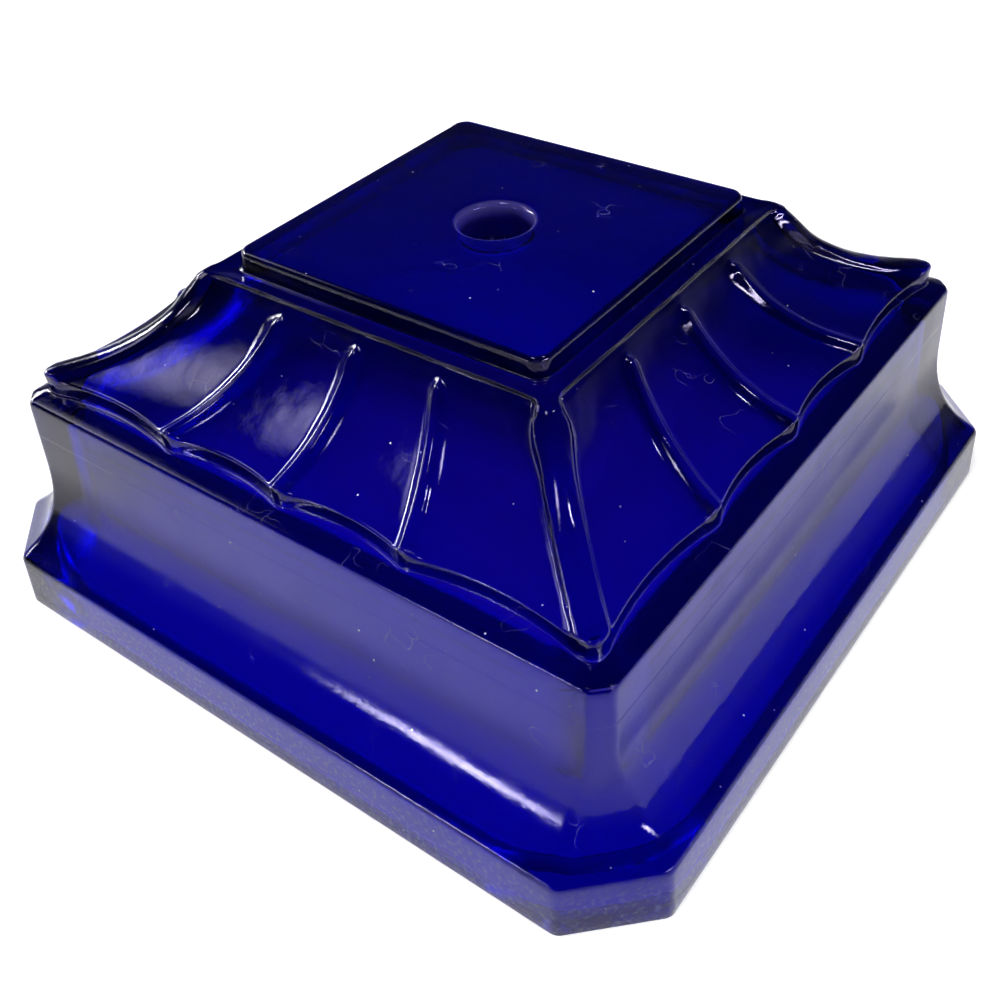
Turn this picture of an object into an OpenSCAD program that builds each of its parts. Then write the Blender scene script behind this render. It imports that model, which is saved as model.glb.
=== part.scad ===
// Square pressed-glass lamp base.
// A hollow glass foot with a clipped-corner plinth, a fluted skirt that sweeps up
// like a tent roof, and a raised square top plate bored for a lamp pipe.
// Millimetres, +Z up, origin at the middle of the footprint on the table.

/* [Foot] */
// Width of the square foot across its flats
foot_w = 127; // [122:0.5:134]
// Height of the upright band round the foot
foot_band_h = 9.4; // [8:0.2:9.8]
// How much the flat of a clipped foot corner takes off each side
foot_clip = 10.6; // [8:0.1:13]
// Radius of the rounded edge on top of the foot band
foot_edge_r = 1.4; // [0.8:0.1:2.4]

/* [Wall] */
// Width of the body across the rim
rim_w = 106.4; // [102:0.2:110]
// Height of the rim
rim_h = 35.6; // [33:0.1:37]
// How much the flat of a clipped rim corner takes off each side
rim_clip = 2.1; // [1.5:0.1:4]
// Radius of the rounded rim edge
rim_edge_r = 0.9; // [0.4:0.1:1.4]
// Height where the lines of the wall and of the slope to the foot would meet
cove_h = 15.4; // [15:0.1:17]
// Radius of the hollow turn between wall and foot
cove_r = 18; // [12:0.5:19]

/* [Skirt] */
// Width of the skirt across its lower edge
skirt_w = 100.4; // [98:0.2:102]
// Height of the skirt's lower edge
skirt_h = 40; // [39.5:0.1:41]
// Radius of the rounded lower edge of the skirt
skirt_edge_r = 1.2; // [0.6:0.1:1.3]
// How far the ledge round the skirt's foot rises above the rim
ledge_rise = 0.9; // [0.4:0.1:1.2]
// Width across the shoulder at the head of the skirt
shoulder_w = 62.2; // [60:0.2:65]
// Height of the shoulder
shoulder_h = 53.7; // [53:0.1:54.3]
// How far the ledge on the shoulder dips down to the top plate
shoulder_dip = 0.7; // [0.2:0.1:1]
// Radius of the hollow sweep of the skirt
sweep_r = 26.2; // [25:0.1:32]
// Depth of each flute below the ribs
flute_depth = 1.2; // [0.8:0.1:1.8]
// Depth of each scallop in the skirt's edge
scallop_depth = 1.5; // [0.8:0.1:2]
// Width of a rib's crest
rib_crest = 1.5; // [1:0.1:2.4]
// Width of a corner rib's crest
corner_rib_crest = 4; // [2.4:0.1:5]
// Radius of the skirt's rounded corners
skirt_corner_r = 1.3; // [1:0.1:3]
// Distance of an outer rib from the middle of its side, at the shoulder
rib_head_x = 14; // [12.5:0.1:15.5]
// Distance of an outer rib from the middle of its side, at the skirt's edge
rib_foot_x = 21.4; // [19.5:0.1:23.5]

/* [Top plate] */
// Width of the raised top plate
plate_w = 54.4; // [50:0.2:57]
// Height of the whole base
total_h = 56.3; // [55.6:0.1:57]
// Radius of the plate's upright corners
plate_corner_r = 2.2; // [1:0.1:4]
// Radius of the plate's rounded top edge
plate_edge_r = 0.9; // [0.3:0.1:1.2]
// Diameter of the hole for the lamp pipe
pipe_hole_d = 11.1; // [10:0.1:14]
// Radius of the rounded lip round the hole
hole_lip_r = 0.8; // [0.3:0.1:1.2]

/* [Glass] */
// Thickness of the glass under the plate
plate_t = 7; // [5:0.1:8]
// Thickness of the skirt
skirt_t = 5.4; // [4.6:0.1:6]
// Thickness of the upright wall
wall_t = 5; // [4.5:0.1:6]

/* [Hidden] */

glass_color = "mediumblue";
arc_steps = 6;      // straight steps in one rounded corner of an outline, at least
step_r = 1.5;       // radius for which a wide arc gets one step each
sweep_steps = 12;   // straight steps along the sweep of the skirt
flute_points = 10;  // points across the floor of one flute
round_fn = 96;      // sides of the pipe hole
small_fn = 48;      // sides of a small rounded corner
bite_fn = 180;      // sides of the wide circle that cuts a scallop
slack = 1;          // how far a cutting solid reaches past what it cuts
hair = 0.02;        // how far a cut rises past a face that it ends on

foot_half = foot_w / 2;
rim_half = rim_w / 2;
skirt_half = skirt_w / 2;
shoulder_half = shoulder_w / 2;
plate_half = plate_w / 2;
root2 = sqrt(2);

// The sides lean in a little as they rise, so that the glass leaves its mould.
band_draft = 0.6;
wall_draft = 1;
plate_draft = 0.2;

// The flat of a clipped corner turns out to the foot a little lower and tighter.
corner_cove_h = cove_h - 0.8;
corner_cove_r = 0.72 * cove_r;
rim_diagonal = root2 * rim_half - rim_clip / root2;
foot_diagonal = root2 * foot_half - foot_clip / root2;

// ---- outlines -------------------------------------------------------------

function unit(v) = v / norm(v);

// The corner b between a and c, replaced by an arc of radius r.
function corner_arc(a, b, c, r) =
    let (u = unit(a - b), v = unit(c - b),
         steps = max(arc_steps, ceil(r / step_r)),
         half = acos(u * v) / 2,
         middle = b + unit(u + v) * r / sin(half),
         first = b + u * r / tan(half) - middle,
         turn = (180 - 2 * half) * sign(u.x * v.y - u.y * v.x) * -1)
    [for (i = [0 : steps]) let (t = turn * i / steps)
        middle + [first.x * cos(t) - first.y * sin(t),
                  first.x * sin(t) + first.y * cos(t)]];

// An outline given as [x, y, radius] corners, with its rounded corners filled in.
function rounded(corners) =
    [for (i = [0 : len(corners) - 1])
        let (n = len(corners), here = corners[i],
             before = corners[(i + n - 1) % n], after = corners[(i + 1) % n])
        each here[2] > 0
            ? corner_arc([before.x, before.y], [here.x, here.y], [after.x, after.y], here[2])
            : [[here.x, here.y]]];

// A right half outline, closed with its own mirror image.
function both_sides(half) =
    concat(half, [for (i = [len(half) - 1 : -1 : 0]) [-half[i].x, half[i].y]]);

// Foot, cove, wall and rim as seen along one side.
function wall_outline(rim, foot, cove, cove_radius) =
    both_sides(rounded([
        [0, 0, 0],
        [foot, 0, 0],
        [foot - band_draft, foot_band_h, foot_edge_r],
        [rim + wall_draft, cove, cove_radius],
        [rim, rim_h, rim_edge_r],
        [skirt_half, rim_h + ledge_rise, 0],
        [0, rim_h + ledge_rise, 0]]));

// ---- the sweep of the skirt ------------------------------------------------

shoulder_edge = [0.5, 0.7];  // from the shoulder's corner out and down to the sweep
shoulder_edge_r = 0.5;
skirt_edge = [1.4, 0.2];     // from the skirt's corner in and up to the sweep
sweep_top = [shoulder_half + shoulder_edge.x, shoulder_h - shoulder_edge.y];
sweep_foot = [skirt_half - skirt_edge.x, skirt_h + skirt_edge.y];
sweep_chord = sweep_foot - sweep_top;
sweep_rise = sqrt(sweep_r * sweep_r - pow(norm(sweep_chord) / 2, 2));
sweep_middle = (sweep_top + sweep_foot) / 2 + unit([-sweep_chord.y, sweep_chord.x]) * sweep_rise;
sweep_from = atan2(sweep_top.y - sweep_middle.y, sweep_top.x - sweep_middle.x);
sweep_to = atan2(sweep_foot.y - sweep_middle.y, sweep_foot.x - sweep_middle.x);

// A point on the sweep: s runs from 0 at the shoulder to 1 at the skirt's edge.
function sweep_out(s) = let (a = sweep_from + (sweep_to - sweep_from) * s) [cos(a), sin(a)];
function on_sweep(s, deeper = 0) = sweep_middle + (sweep_r + deeper) * sweep_out(s);

// The roof of the base as seen along one side, with every rib at its full height.
skirt_outline = both_sides(rounded(concat(
    [[0, rim_h - slack, 0], [skirt_half, rim_h - slack, 0], [skirt_half, skirt_h, skirt_edge_r]],
    [for (i = [sweep_steps : -1 : 0]) concat(on_sweep(i / sweep_steps), 0)],
    [[shoulder_half, shoulder_h, shoulder_edge_r], [0, shoulder_h, 0]])));

// ---- solids from outlines ---------------------------------------------------

// An outline seen from the front, stretched right through the base.
module long_section(outline, length = 2 * foot_w) {
    rotate([90, 0, 0])
        linear_extrude(height = length, center = true)
            polygon(outline);
}

// Two outlines crossed at right angles, which mitre at the corners.
module crossed(outline) {
    intersection() {
        long_section(outline);
        rotate(90) long_section(outline);
    }
}

module clipped_solid(side_outline, corner_outline) {
    intersection() {
        crossed(side_outline);
        rotate(45) crossed(corner_outline);
    }
}

module plinth() {
    clipped_solid(
        wall_outline(rim_half, foot_half, cove_h, cove_r),
        wall_outline(rim_diagonal, foot_diagonal, corner_cove_h, corner_cove_r));
}

// ---- skirt -------------------------------------------------------------------

corner_flat = 0.5;  // how far the crest of a corner rib is dressed back

// Half of the skirt's width at a place along the sweep.
function reach(s) = on_sweep(s).x;

// Middle line of rib k: 0 in the middle of a side, 1 further out, 2 on the corner.
function rib_x(k, s) =
    k == 0 ? 0
    : k == 1 ? rib_head_x + (rib_foot_x - rib_head_x)
        * (reach(s) - reach(0)) / (reach(1) - reach(0))
    : reach(s);
function rib_half(k) = k == 2 ? corner_rib_crest / root2 : rib_crest / 2;

// A flute's head is a low arch, and its floor dips below the crests of the ribs.
head_s = 0.24;        // share of the sweep that the arch takes
head_shape = 3;       // 2 is a round arch, and more is a squarer one
head_dip = 1.3;       // how much sooner than the arch ends the floor is at full depth
floor_shape = 6;      // more is a flatter floor with steeper flanks
crest_clear = 0.12;   // how far the edge of a cut stays clear above the crests
floor_crowding = 1.6; // draws the points of a floor towards its flanks
cut_height = 3;       // how far a flute's cutting solid rises over the skirt
function head(s) =
    s >= head_s ? 1 : pow(1 - pow(1 - s / head_s, head_shape), 1 / head_shape);
function floor_dip(v, s) =
    let (flank = pow(abs(v), floor_shape))
    flute_depth * min(1, s / head_s * head_dip) * (1 - flank) - crest_clear * flank;

// One cross-section of the space that flute k takes out of the roof.
function flute_ring(k, s) =
    let (left = rib_x(k, s) + rib_half(k),
         right = rib_x(k + 1, s) - rib_half(k + 1),
         half = (right - left) / 2 * head(s),
         middle = (right + left) / 2,
         edge = on_sweep(s, -cut_height))
    concat(
        [for (i = [0 : flute_points])
            let (v = 2 * i / flute_points - 1,
                 w = sign(v) * (1 - pow(1 - abs(v), floor_crowding)),
                 p = on_sweep(s, floor_dip(w, s)))
            [middle + half * w, p.x, p.y]],
        [[middle + half, edge.x, edge.y], [middle - half, edge.x, edge.y]]);

flute_from = 0.02;  // a flute starts just below the shoulder
flute_to = 1.16;    // and runs out past the skirt's edge
flute_stations = concat([flute_from], [for (i = [1 : sweep_steps]) i / sweep_steps], [flute_to]);
flute_rings = len(flute_stations) - 1;

module flute(k) {
    ring = flute_points + 3;
    points = [for (s = flute_stations) each flute_ring(k, s)];
    faces = concat(
        [[for (i = [0 : ring - 1]) i]],
        [[for (i = [ring - 1 : -1 : 0]) flute_rings * ring + i]],
        [for (j = [0 : flute_rings - 1]) for (i = [0 : ring - 1])
            let (a = j * ring + i, b = j * ring + (i + 1) % ring)
            each [[a, a + ring, b], [b, a + ring, b + ring]]]);
    polyhedron([for (p = points) [p.x, -p.y, p.z]], faces, convexity = 6);
}

// A shallow round bite out of the skirt's edge between two ribs.
module scallop(from_x, to_x) {
    span = to_x - from_x;
    r = (span * span / 4 + scallop_depth * scallop_depth) / (2 * scallop_depth);
    translate([(from_x + to_x) / 2, -skirt_half - r + scallop_depth, rim_h + ledge_rise])
        cylinder(h = skirt_h, r = r, $fn = bite_fn);
}

module one_side_cuts() {
    for (side = [0, 1]) mirror([side, 0, 0]) {
        flute(0);
        flute(1);
        scallop(rib_crest / 2, rib_foot_x - rib_crest / 2);
        scallop(rib_foot_x + rib_crest / 2, skirt_half - corner_rib_crest / 2);
    }
}

// The shoulder's ledge slopes down towards the foot of the top plate.
ledge_flat = 0.6;     // flat strip beside the plate
shoulder_land = 0.8;  // strip along the shoulder's edge that keeps the full height
shoulder_dip_outline = both_sides([
    [0, shoulder_h - shoulder_dip],
    [plate_half + ledge_flat, shoulder_h - shoulder_dip],
    [shoulder_half - shoulder_land, shoulder_h + hair],
    [shoulder_half - shoulder_land, total_h + slack],
    [0, total_h + slack]]);

crest_outline = [for (p = skirt_outline) [p.x * root2 - sign(p.x) * corner_flat, p.y]];

module skirt() {
    difference() {
        intersection() {
            crossed(skirt_outline);
            rotate(45) crossed(crest_outline);
            linear_extrude(height = total_h) rounded_square(skirt_w, skirt_corner_r);
        }
        for (turn = [0 : 90 : 270]) rotate(turn) one_side_cuts();
        crossed(shoulder_dip_outline);
    }
}

// ---- top plate -----------------------------------------------------------------

module rounded_square(w, r) {
    square([w - 2 * r, w], center = true);
    square([w, w - 2 * r], center = true);
    for (x = [-1, 1], y = [-1, 1])
        translate([x, y] * (w / 2 - r)) circle(r = r, $fn = small_fn);
}

module top_plate() {
    intersection() {
        linear_extrude(height = total_h) rounded_square(plate_w, plate_corner_r);
        crossed(both_sides(rounded([
            [0, shoulder_h - 2 * slack, 0],
            [plate_half + plate_draft, shoulder_h - 2 * slack, 0],
            [plate_half, total_h, plate_edge_r],
            [0, total_h, 0]])));
    }
}

// ---- inside ------------------------------------------------------------------------

// The hollow inside follows the roof and the wall at the thickness of the glass.
inner_top = total_h - plate_t;
inner_half = rim_half - wall_t;
inner_foot_half = foot_half - wall_t;
inner_edge_h = rim_h - 2.6;   // height where the hollow's side turns in to its roof
inner_edge_r = 2.4;
inner_cove = [1.4, cove_h - 2.4, 9];  // out from the side, height and radius
inner_foot = [0.6, 5, 3];             // in from the foot, height and radius
roof_from = 0.09;   // share of the sweep at which the hollow's roof starts
roof_span = 0.93;   // share of the sweep that it follows
roof_step = 0.3;    // least drop from the flat of the roof to its slope
roof_land = 2.4;    // least way from the slope of the roof to the hollow's side
roof_turn = 1.6;    // width of the bevel round the flat of the roof
inner_rim_clip = 4.8;
inner_foot_clip = 11.9;
corner_pinch = 0.97;  // keeps the glass under a corner rib at its thickness

inner_roof = [for (i = [0 : sweep_steps]) on_sweep(roof_from + roof_span * i / sweep_steps, skirt_t)];
inner_slope =
    [for (p = inner_roof) if (p.y < inner_top - roof_step && p.x < inner_half - roof_land) p];
slope_last = len(inner_slope) - 1;

function hollow_outline(side, foot, spread) =
    both_sides(rounded(concat(
        [[0, -slack, 0], [foot, -slack, 0]],
        [[foot - inner_foot[0], inner_foot[1], inner_foot[2]]],
        [[side + inner_cove[0], inner_cove[1], inner_cove[2]]],
        [[side, inner_edge_h, inner_edge_r]],
        [for (i = [slope_last : -1 : 0]) [inner_slope[i].x * spread, inner_slope[i].y, 0]],
        [[inner_slope[0].x * spread - roof_turn, inner_top, 0], [0, inner_top, 0]])));

module hollow() {
    clipped_solid(
        hollow_outline(inner_half, inner_foot_half, 1),
        hollow_outline(
            root2 * inner_half - inner_rim_clip / root2,
            root2 * inner_foot_half - inner_foot_clip / root2,
            root2 * corner_pinch));
}

module pipe_hole() {
    r = pipe_hole_d / 2;
    translate([0, 0, inner_top - slack]) cylinder(h = plate_t + 2 * slack, r = r, $fn = round_fn);
    translate([0, 0, total_h - hole_lip_r])
        rotate_extrude($fn = round_fn)
            difference() {
                square([r + hole_lip_r, hole_lip_r + slack]);
                translate([r + hole_lip_r, 0]) circle(r = hole_lip_r, $fn = small_fn);
            }
}

// ---- the one piece of glass ------------------------------------------------------------

module glass_base() {
    color(glass_color)
        difference() {
            union() {
                plinth();
                skirt();
                top_plate();
            }
            hollow();
            pipe_hole();
        }
}

glass_base();
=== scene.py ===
# %% [markdown]
# # A square lamp base in pressed cobalt glass
# The object is one lump of glass, pressed hot in an iron mould: a foot with clipped
# corners, a straight wall, a fluted skirt that sweeps up like a tent roof, and a raised
# plate with a hole for the lamp pipe. Everything that the eye reads in it is shape seen
# through colour, so this lesson spends its effort on one smooth, closed mesh and on one
# honest glass material.

# %% Load the fixed frame
import math

import bpy
import numpy as np
from mathutils import Matrix, Vector


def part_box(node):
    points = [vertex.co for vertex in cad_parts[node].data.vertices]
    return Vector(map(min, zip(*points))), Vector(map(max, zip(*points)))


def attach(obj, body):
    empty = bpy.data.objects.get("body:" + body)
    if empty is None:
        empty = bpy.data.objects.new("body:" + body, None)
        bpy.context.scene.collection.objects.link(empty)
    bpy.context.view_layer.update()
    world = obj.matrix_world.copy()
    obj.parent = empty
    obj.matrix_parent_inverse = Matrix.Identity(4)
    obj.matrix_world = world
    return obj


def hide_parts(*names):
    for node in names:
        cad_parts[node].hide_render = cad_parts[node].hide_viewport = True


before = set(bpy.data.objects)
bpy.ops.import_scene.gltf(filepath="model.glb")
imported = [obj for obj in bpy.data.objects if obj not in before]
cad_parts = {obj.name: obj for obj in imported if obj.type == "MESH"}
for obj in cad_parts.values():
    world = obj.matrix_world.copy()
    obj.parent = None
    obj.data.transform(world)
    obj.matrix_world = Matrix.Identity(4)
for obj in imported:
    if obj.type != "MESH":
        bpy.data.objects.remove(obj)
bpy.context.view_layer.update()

# %% [markdown]
# ## Driving sizes
# The solid model settles how big the base is. Its box gives the foot and the height, and
# the other sizes are the mould's own, in millimetres. Each is named in the cell that
# first needs it. Blender works in metres, so one constant turns one into the other.

# %% The box
MM = 0.001
box_low, box_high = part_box("glass_base")
foot_half = box_high.x / MM
top_h = box_high.z / MM
print("foot half width", round(foot_half, 2), "mm, height", round(top_h, 2), "mm")

# %% [markdown]
# ## The outline of the glass
# Cut the base down the middle of one side and the cut face is a closed outline: up the
# hole, out over the plate, down the skirt and the wall to the table, and back up the
# inside. It could be drawn by hand, but its corners are all rounded by the mould, so a
# helper replaces each sharp corner with an arc, and the outline needs only its corners.

# %% Small sums
ROOT2 = math.sqrt(2)


def mix(a, b, t):
    return a + (b - a) * t


def clip(t):
    return min(1.0, max(0.0, t))


def smooth(t):
    """From 0 to 1 with a gentle start and a gentle end."""
    return clip(t) ** 2 * (3 - 2 * clip(t))


print("halfway, smoothed:", smooth(0.5))

# %% Outline helpers
def arc_at(before, corner, after, radius, steps):
    """The corner, replaced by an arc of that radius in so many steps."""
    before, corner, after = (np.array(p, float) for p in (before, corner, after))
    u = (before - corner) / np.linalg.norm(before - corner)
    v = (after - corner) / np.linalg.norm(after - corner)
    half = math.acos(float(np.clip(u @ v, -1, 1))) / 2
    middle = corner + (u + v) / np.linalg.norm(u + v) * radius / math.sin(half)
    first = corner + u * radius / math.tan(half) - middle
    turn = -(math.pi - 2 * half) * np.sign(u[0] * v[1] - u[1] * v[0])
    angles = turn * np.linspace(0, 1, steps + 1)
    return [middle + np.array([first[0] * math.cos(a) - first[1] * math.sin(a),
                               first[0] * math.sin(a) + first[1] * math.cos(a)])
            for a in angles]


def rounded_path(corners):
    """Corners are (out, up, radius, arc steps, straight steps to the next corner)."""
    arcs = []
    for i, (x, z, radius, steps, _) in enumerate(corners):
        if radius and 0 < i < len(corners) - 1:
            before, after = corners[i - 1][:2], corners[i + 1][:2]
            arcs.append(arc_at(before, (x, z), after, radius, steps))
        else:
            arcs.append([np.array([x, z], float)])
    path = []
    for i, arc in enumerate(arcs):
        path += arc
        if i + 1 < len(arcs):
            steps = corners[i][4]
            gap = arcs[i + 1][0] - arc[-1]
            path += [arc[-1] + gap * k / steps for k in range(1, steps)]
    return path


sample = rounded_path([(0, 0, 0, 0, 1), (1, 0, 0.5, 4, 1), (1, 1, 0, 0, 1)])
print("a square corner, rounded, has", len(sample), "points")

# %% [markdown]
# ## The wall and the foot
# The wall leans out a little, so that the glass lets go of the mould, and runs into the
# foot by one long hollow curve. At each corner it is clipped, by little at the rim and by
# much at the foot, so the corner has an outline of its own, measured on the diagonal.

# %% Outline of the wall, on a side and on a corner
rim_half, rim_h, rim_edge_r, rim_clip = 53.2, 35.6, 0.9, 2.1
wall_draft, cove_h, cove_r = 1.0, 15.4, 18.0
corner_cove_h, corner_cove_r = 14.6, 13.0
foot_band_h, foot_band_draft, foot_edge_r, foot_clip = 9.4, 0.6, 1.4, 10.55
sole_play, sole_edge_r, sole_w = 0.02, 0.4, 4  # the narrow ring that the foot stands on
skirt_half, skirt_h = 50.2, 40.0
ledge_rise, ledge_gap, ledge_fall = 0.9, 0.9, 0.25  # the ledge that the skirt hangs over


def wall_path(rim, foot, cove, cove_radius):
    """Rim, wall, cove and foot band from the skirt's foot down to the table."""
    return rounded_path([
        (skirt_half + ledge_gap, rim_h + ledge_rise - ledge_fall, 0, 0, 3),
        (rim, rim_h, rim_edge_r, 6, 9),
        (rim + wall_draft, cove, cove_radius, 22, 1),
        (foot - foot_band_draft, foot_band_h, foot_edge_r, 9, 5),
        (foot - sole_play, 0, sole_edge_r, 4, 2),
        (foot - sole_w, 0, 0, 0, 1)])[:-1]


side_wall = wall_path(rim_half, foot_half, cove_h, cove_r)
corner_wall = wall_path(ROOT2 * rim_half - rim_clip / ROOT2,
                        ROOT2 * foot_half - foot_clip / ROOT2, corner_cove_h, corner_cove_r)
print("outline of the wall:", len(side_wall), "points")

# %% [markdown]
# ## The sweep of the skirt
# The skirt hangs like the roof of a tent. Along one side it is one hollow arc, from the
# shoulder down to the skirt's edge. The arc's centre follows from its two ends and its
# radius, and every rib and flute is then placed by how far along the arc it is.

# %% The arc of the skirt
shoulder_half, shoulder_h = 31.1, 53.7
sweep_r = 26.2
top_out, top_down, foot_in, foot_up = 0.5, 0.7, 1.4, 0.2  # the arc stops short of both edges
sweep_top = np.array([shoulder_half + top_out, shoulder_h - top_down])
sweep_foot = np.array([skirt_half - foot_in, skirt_h + foot_up])
chord = sweep_foot - sweep_top
chord_half = np.linalg.norm(chord) / 2
across_chord = np.array([-chord[1], chord[0]]) / (2 * chord_half)
rise = math.sqrt(sweep_r ** 2 - chord_half ** 2)
sweep_middle = (sweep_top + sweep_foot) / 2 + across_chord * rise
sweep_start = math.atan2(*(sweep_top - sweep_middle)[::-1])
sweep_end = math.atan2(*(sweep_foot - sweep_middle)[::-1])
sweep_length = sweep_r * abs(sweep_end - sweep_start)


def on_sweep(s, deeper=0.0):
    """Place on the arc: s is 0 at the shoulder and 1 at the skirt's edge."""
    a = mix(sweep_start, sweep_end, s)
    return sweep_middle + (sweep_r + deeper) * np.array([math.cos(a), math.sin(a)])


def into_glass(s):
    """Unit direction that points from the skirt's face into the glass."""
    return on_sweep(s, 1.0) - on_sweep(s)


def up_the_sweep(s, step=0.01):
    """Direction along the arc towards the shoulder, about one unit long."""
    low, high = max(s - step, 0), s + step
    return (on_sweep(low) - on_sweep(high)) / (2 * step * sweep_length)


print("the skirt's arc is", round(sweep_length, 1), "mm long")

# %% [markdown]
# ## Stations
# The body is made like a boat's hull, from rings. Each station is one closed ring round
# the base: a square of some width at some height, with its corners cut and rounded by
# some amount. The flutes and scallops come later, so each station also notes how far it
# may be pressed in, and in what direction.

# %% What a station holds
ROUND_CUT = 2 - ROOT2  # a corner cut by this much of its radius is a plain round corner
FULLEST = 0.92  # an arc that would take all of its cut is held back to this share
OFF_THE_SKIRT = -99.0  # a way down the skirt, in millimetres, that no rib reaches


class Station:
    """One ring of the body. Lengths are in millimetres."""

    def __init__(self, out, up, corner_r, cut=None, along=OFF_THE_SKIRT, press=(0, 0),
                 pull=(0, 0), circle=0.0, spread=0.0, knob=0.0):
        self.out, self.up = out, up
        self.cut = ROUND_CUT * corner_r if cut is None else cut
        longest = self.cut / ROUND_CUT
        tight = corner_r > FULLEST * longest
        self.corner_r = min(corner_r, longest) * (FULLEST if tight else 1)
        self.along = along  # way down the skirt
        self.press, self.pull = press, pull  # directions for the flutes and the scallops
        self.circle, self.spread = circle, spread  # a round ring, and its share of square
        self.knob = knob  # extra fullness at the corner


print("a 10 mm square ring:", vars(Station(10, 0, 2)))

# %% [markdown]
# ## The plate
# The plate is the flat top that the lamp stands on. Its rings begin as circles in the
# bore, roll over the rounded lip, and open out over the flat into a square. From the
# plate's edge they drop into a shallow groove and climb again to the shoulder.

# %% Stations of the plate
plate_half, plate_edge_r, plate_corner_r, plate_t = 27.2, 0.9, 2.2, 7.0
plate_draft, plate_corner_gain = 0.25, 0.2
hole_r, hole_lip_r, bore_edge_r = 5.55, 1.0, 0.4
groove_dip, groove_r = 0.7, 0.5
shoulder_r, shoulder_inset, shoulder_corner_r = 1.1, 0.3, 1.1
BORE_RINGS, ARC_RINGS, FLAT_RINGS, PRESS_RINGS = 4, 7, 9, 9
HOLE_CROWDING = 1.2  # above 1, this draws the rings of the flat towards the hole


def hole_stations():
    found = []
    for k in range(BORE_RINGS):
        up = mix(top_h - plate_t + bore_edge_r, top_h - hole_lip_r, k / BORE_RINGS)
        found.append(Station(plate_half, up, plate_corner_r, circle=hole_r))
    for k in range(ARC_RINGS + 1):
        a = math.pi - math.pi / 2 * k / ARC_RINGS
        found.append(Station(plate_half, top_h - hole_lip_r + hole_lip_r * math.sin(a),
                             plate_corner_r,
                             circle=hole_r + hole_lip_r + hole_lip_r * math.cos(a)))
    return found


def plate_stations():
    found = []
    flat_corner_r = plate_corner_r - plate_edge_r + plate_corner_gain
    for k in range(1, FLAT_RINGS):
        found.append(Station(plate_half - plate_edge_r, top_h, flat_corner_r,
                             circle=hole_r + hole_lip_r,
                             spread=(k / FLAT_RINGS) ** HOLE_CROWDING))
    for k in range(ARC_RINGS + 1):
        a = math.pi / 2 * (1 - k / ARC_RINGS)
        shift = plate_edge_r * (1 - math.cos(a))
        found.append(Station(plate_half - shift, top_h - plate_edge_r * (1 - math.sin(a)),
                             plate_corner_r - shift + plate_corner_gain))
    return found


def shoulder_stations():
    """The groove and the shoulder. The shoulder's last rings already follow the flutes."""
    ledge = rounded_path([
        (plate_half, top_h - plate_edge_r, 0, 0, 3),
        (plate_half + plate_draft, shoulder_h - groove_dip, groove_r, 5, 3),
        (shoulder_half - shoulder_inset, shoulder_h, shoulder_r, 7, 2),
        (*on_sweep(0), 0, 0, 1)])[1:-1]
    found = []
    for k, (x, z) in enumerate(ledge):
        share = 1 - (len(ledge) - k) / PRESS_RINGS
        out = (x - plate_half) / (shoulder_half - plate_half)
        found.append(Station(x, z, mix(plate_corner_r, shoulder_corner_r, out),
                             press=into_glass(0) * smooth(share)))
    return found


top_rings = hole_stations() + plate_stations() + shoulder_stations()
print("stations from the bore to the shoulder:", len(top_rings))

# %% [markdown]
# ## The skirt's blank
# Down the sweep the rings follow the arc. Their corners are a little fuller just below
# the shoulder, where the hot glass ran thick. At the bottom they turn over the skirt's
# edge, drop straight down, and meet the ledge in a small fillet.

# %% Stations of the skirt
skirt_edge_r, skirt_fillet_r, skirt_corner_r, middle_corner_r = 0.6, 0.5, 1.3, 2.2
corner_knob, knob_place = 0.55, 0.14  # fullness of the corner, and where it is greatest
SKIRT_RINGS = 46
BITE_FROM = 0.45  # the scallops begin to pull the flutes this far down the sweep
EDGE_BITE = -1.12  # the straight drop below the edge follows the scallops by this much
CORNER_R = ((0, 0.6, 0.85, 1),
            (shoulder_corner_r, middle_corner_r, middle_corner_r, skirt_corner_r))
edge_lean, drop_lean = 0.15, 0.05  # how far the edge and the drop below it are off square
over_ledge, ledge_slope = 1.6, 0.45  # the path's last corner, out on the ledge
calm_w = 1.4  # over this width of the ledge the scallops fade to half


def sweep_stations():
    found = []
    for k in range(SKIRT_RINGS + 1):
        s = k / SKIRT_RINGS
        x, z = on_sweep(s)
        hold = smooth((s - BITE_FROM) / (1 - BITE_FROM))
        knob = corner_knob * math.exp(-((s - knob_place) / knob_place) ** 2)
        found.append(Station(x, z, np.interp(s, *CORNER_R), along=s * sweep_length,
                             press=into_glass(s), pull=up_the_sweep(s) * hold, knob=knob))
    return found


def edge_stations():
    ledge_z = rim_h + ledge_rise
    edge = rounded_path([
        (*sweep_foot, 0, 0, 1),
        (skirt_half, skirt_h - edge_lean, skirt_edge_r, 8, 3),
        (skirt_half - drop_lean, ledge_z, skirt_fillet_r, 6, 1),
        (skirt_half + over_ledge, ledge_z - ledge_slope, 0, 0, 1)])[1:-1]
    edge_pull = up_the_sweep(0.99)
    found = []
    for x, z in edge:
        down = clip((skirt_h + 0.1 - z) / (skirt_h - ledge_z))
        calm = clip((x - skirt_half) / calm_w)
        inwards = mix(edge_pull[0], EDGE_BITE, down) * (1 - 0.5 * calm)
        found.append(Station(x, z, skirt_corner_r + 0.5 * down, along=sweep_length,
                             press=into_glass(1) * (1 - down ** 1.4),
                             pull=(inwards, edge_pull[1] * (1 - down))))
    return found


skirt_rings = sweep_stations() + edge_stations()
print("stations of the skirt:", len(skirt_rings))

# %% [markdown]
# ## The wall's blank
# The wall's rings take their width from the outline of the side. The outline of the
# corner says how much to clip each of them, which is what turns the square rim into the
# eight-sided foot.

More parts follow.
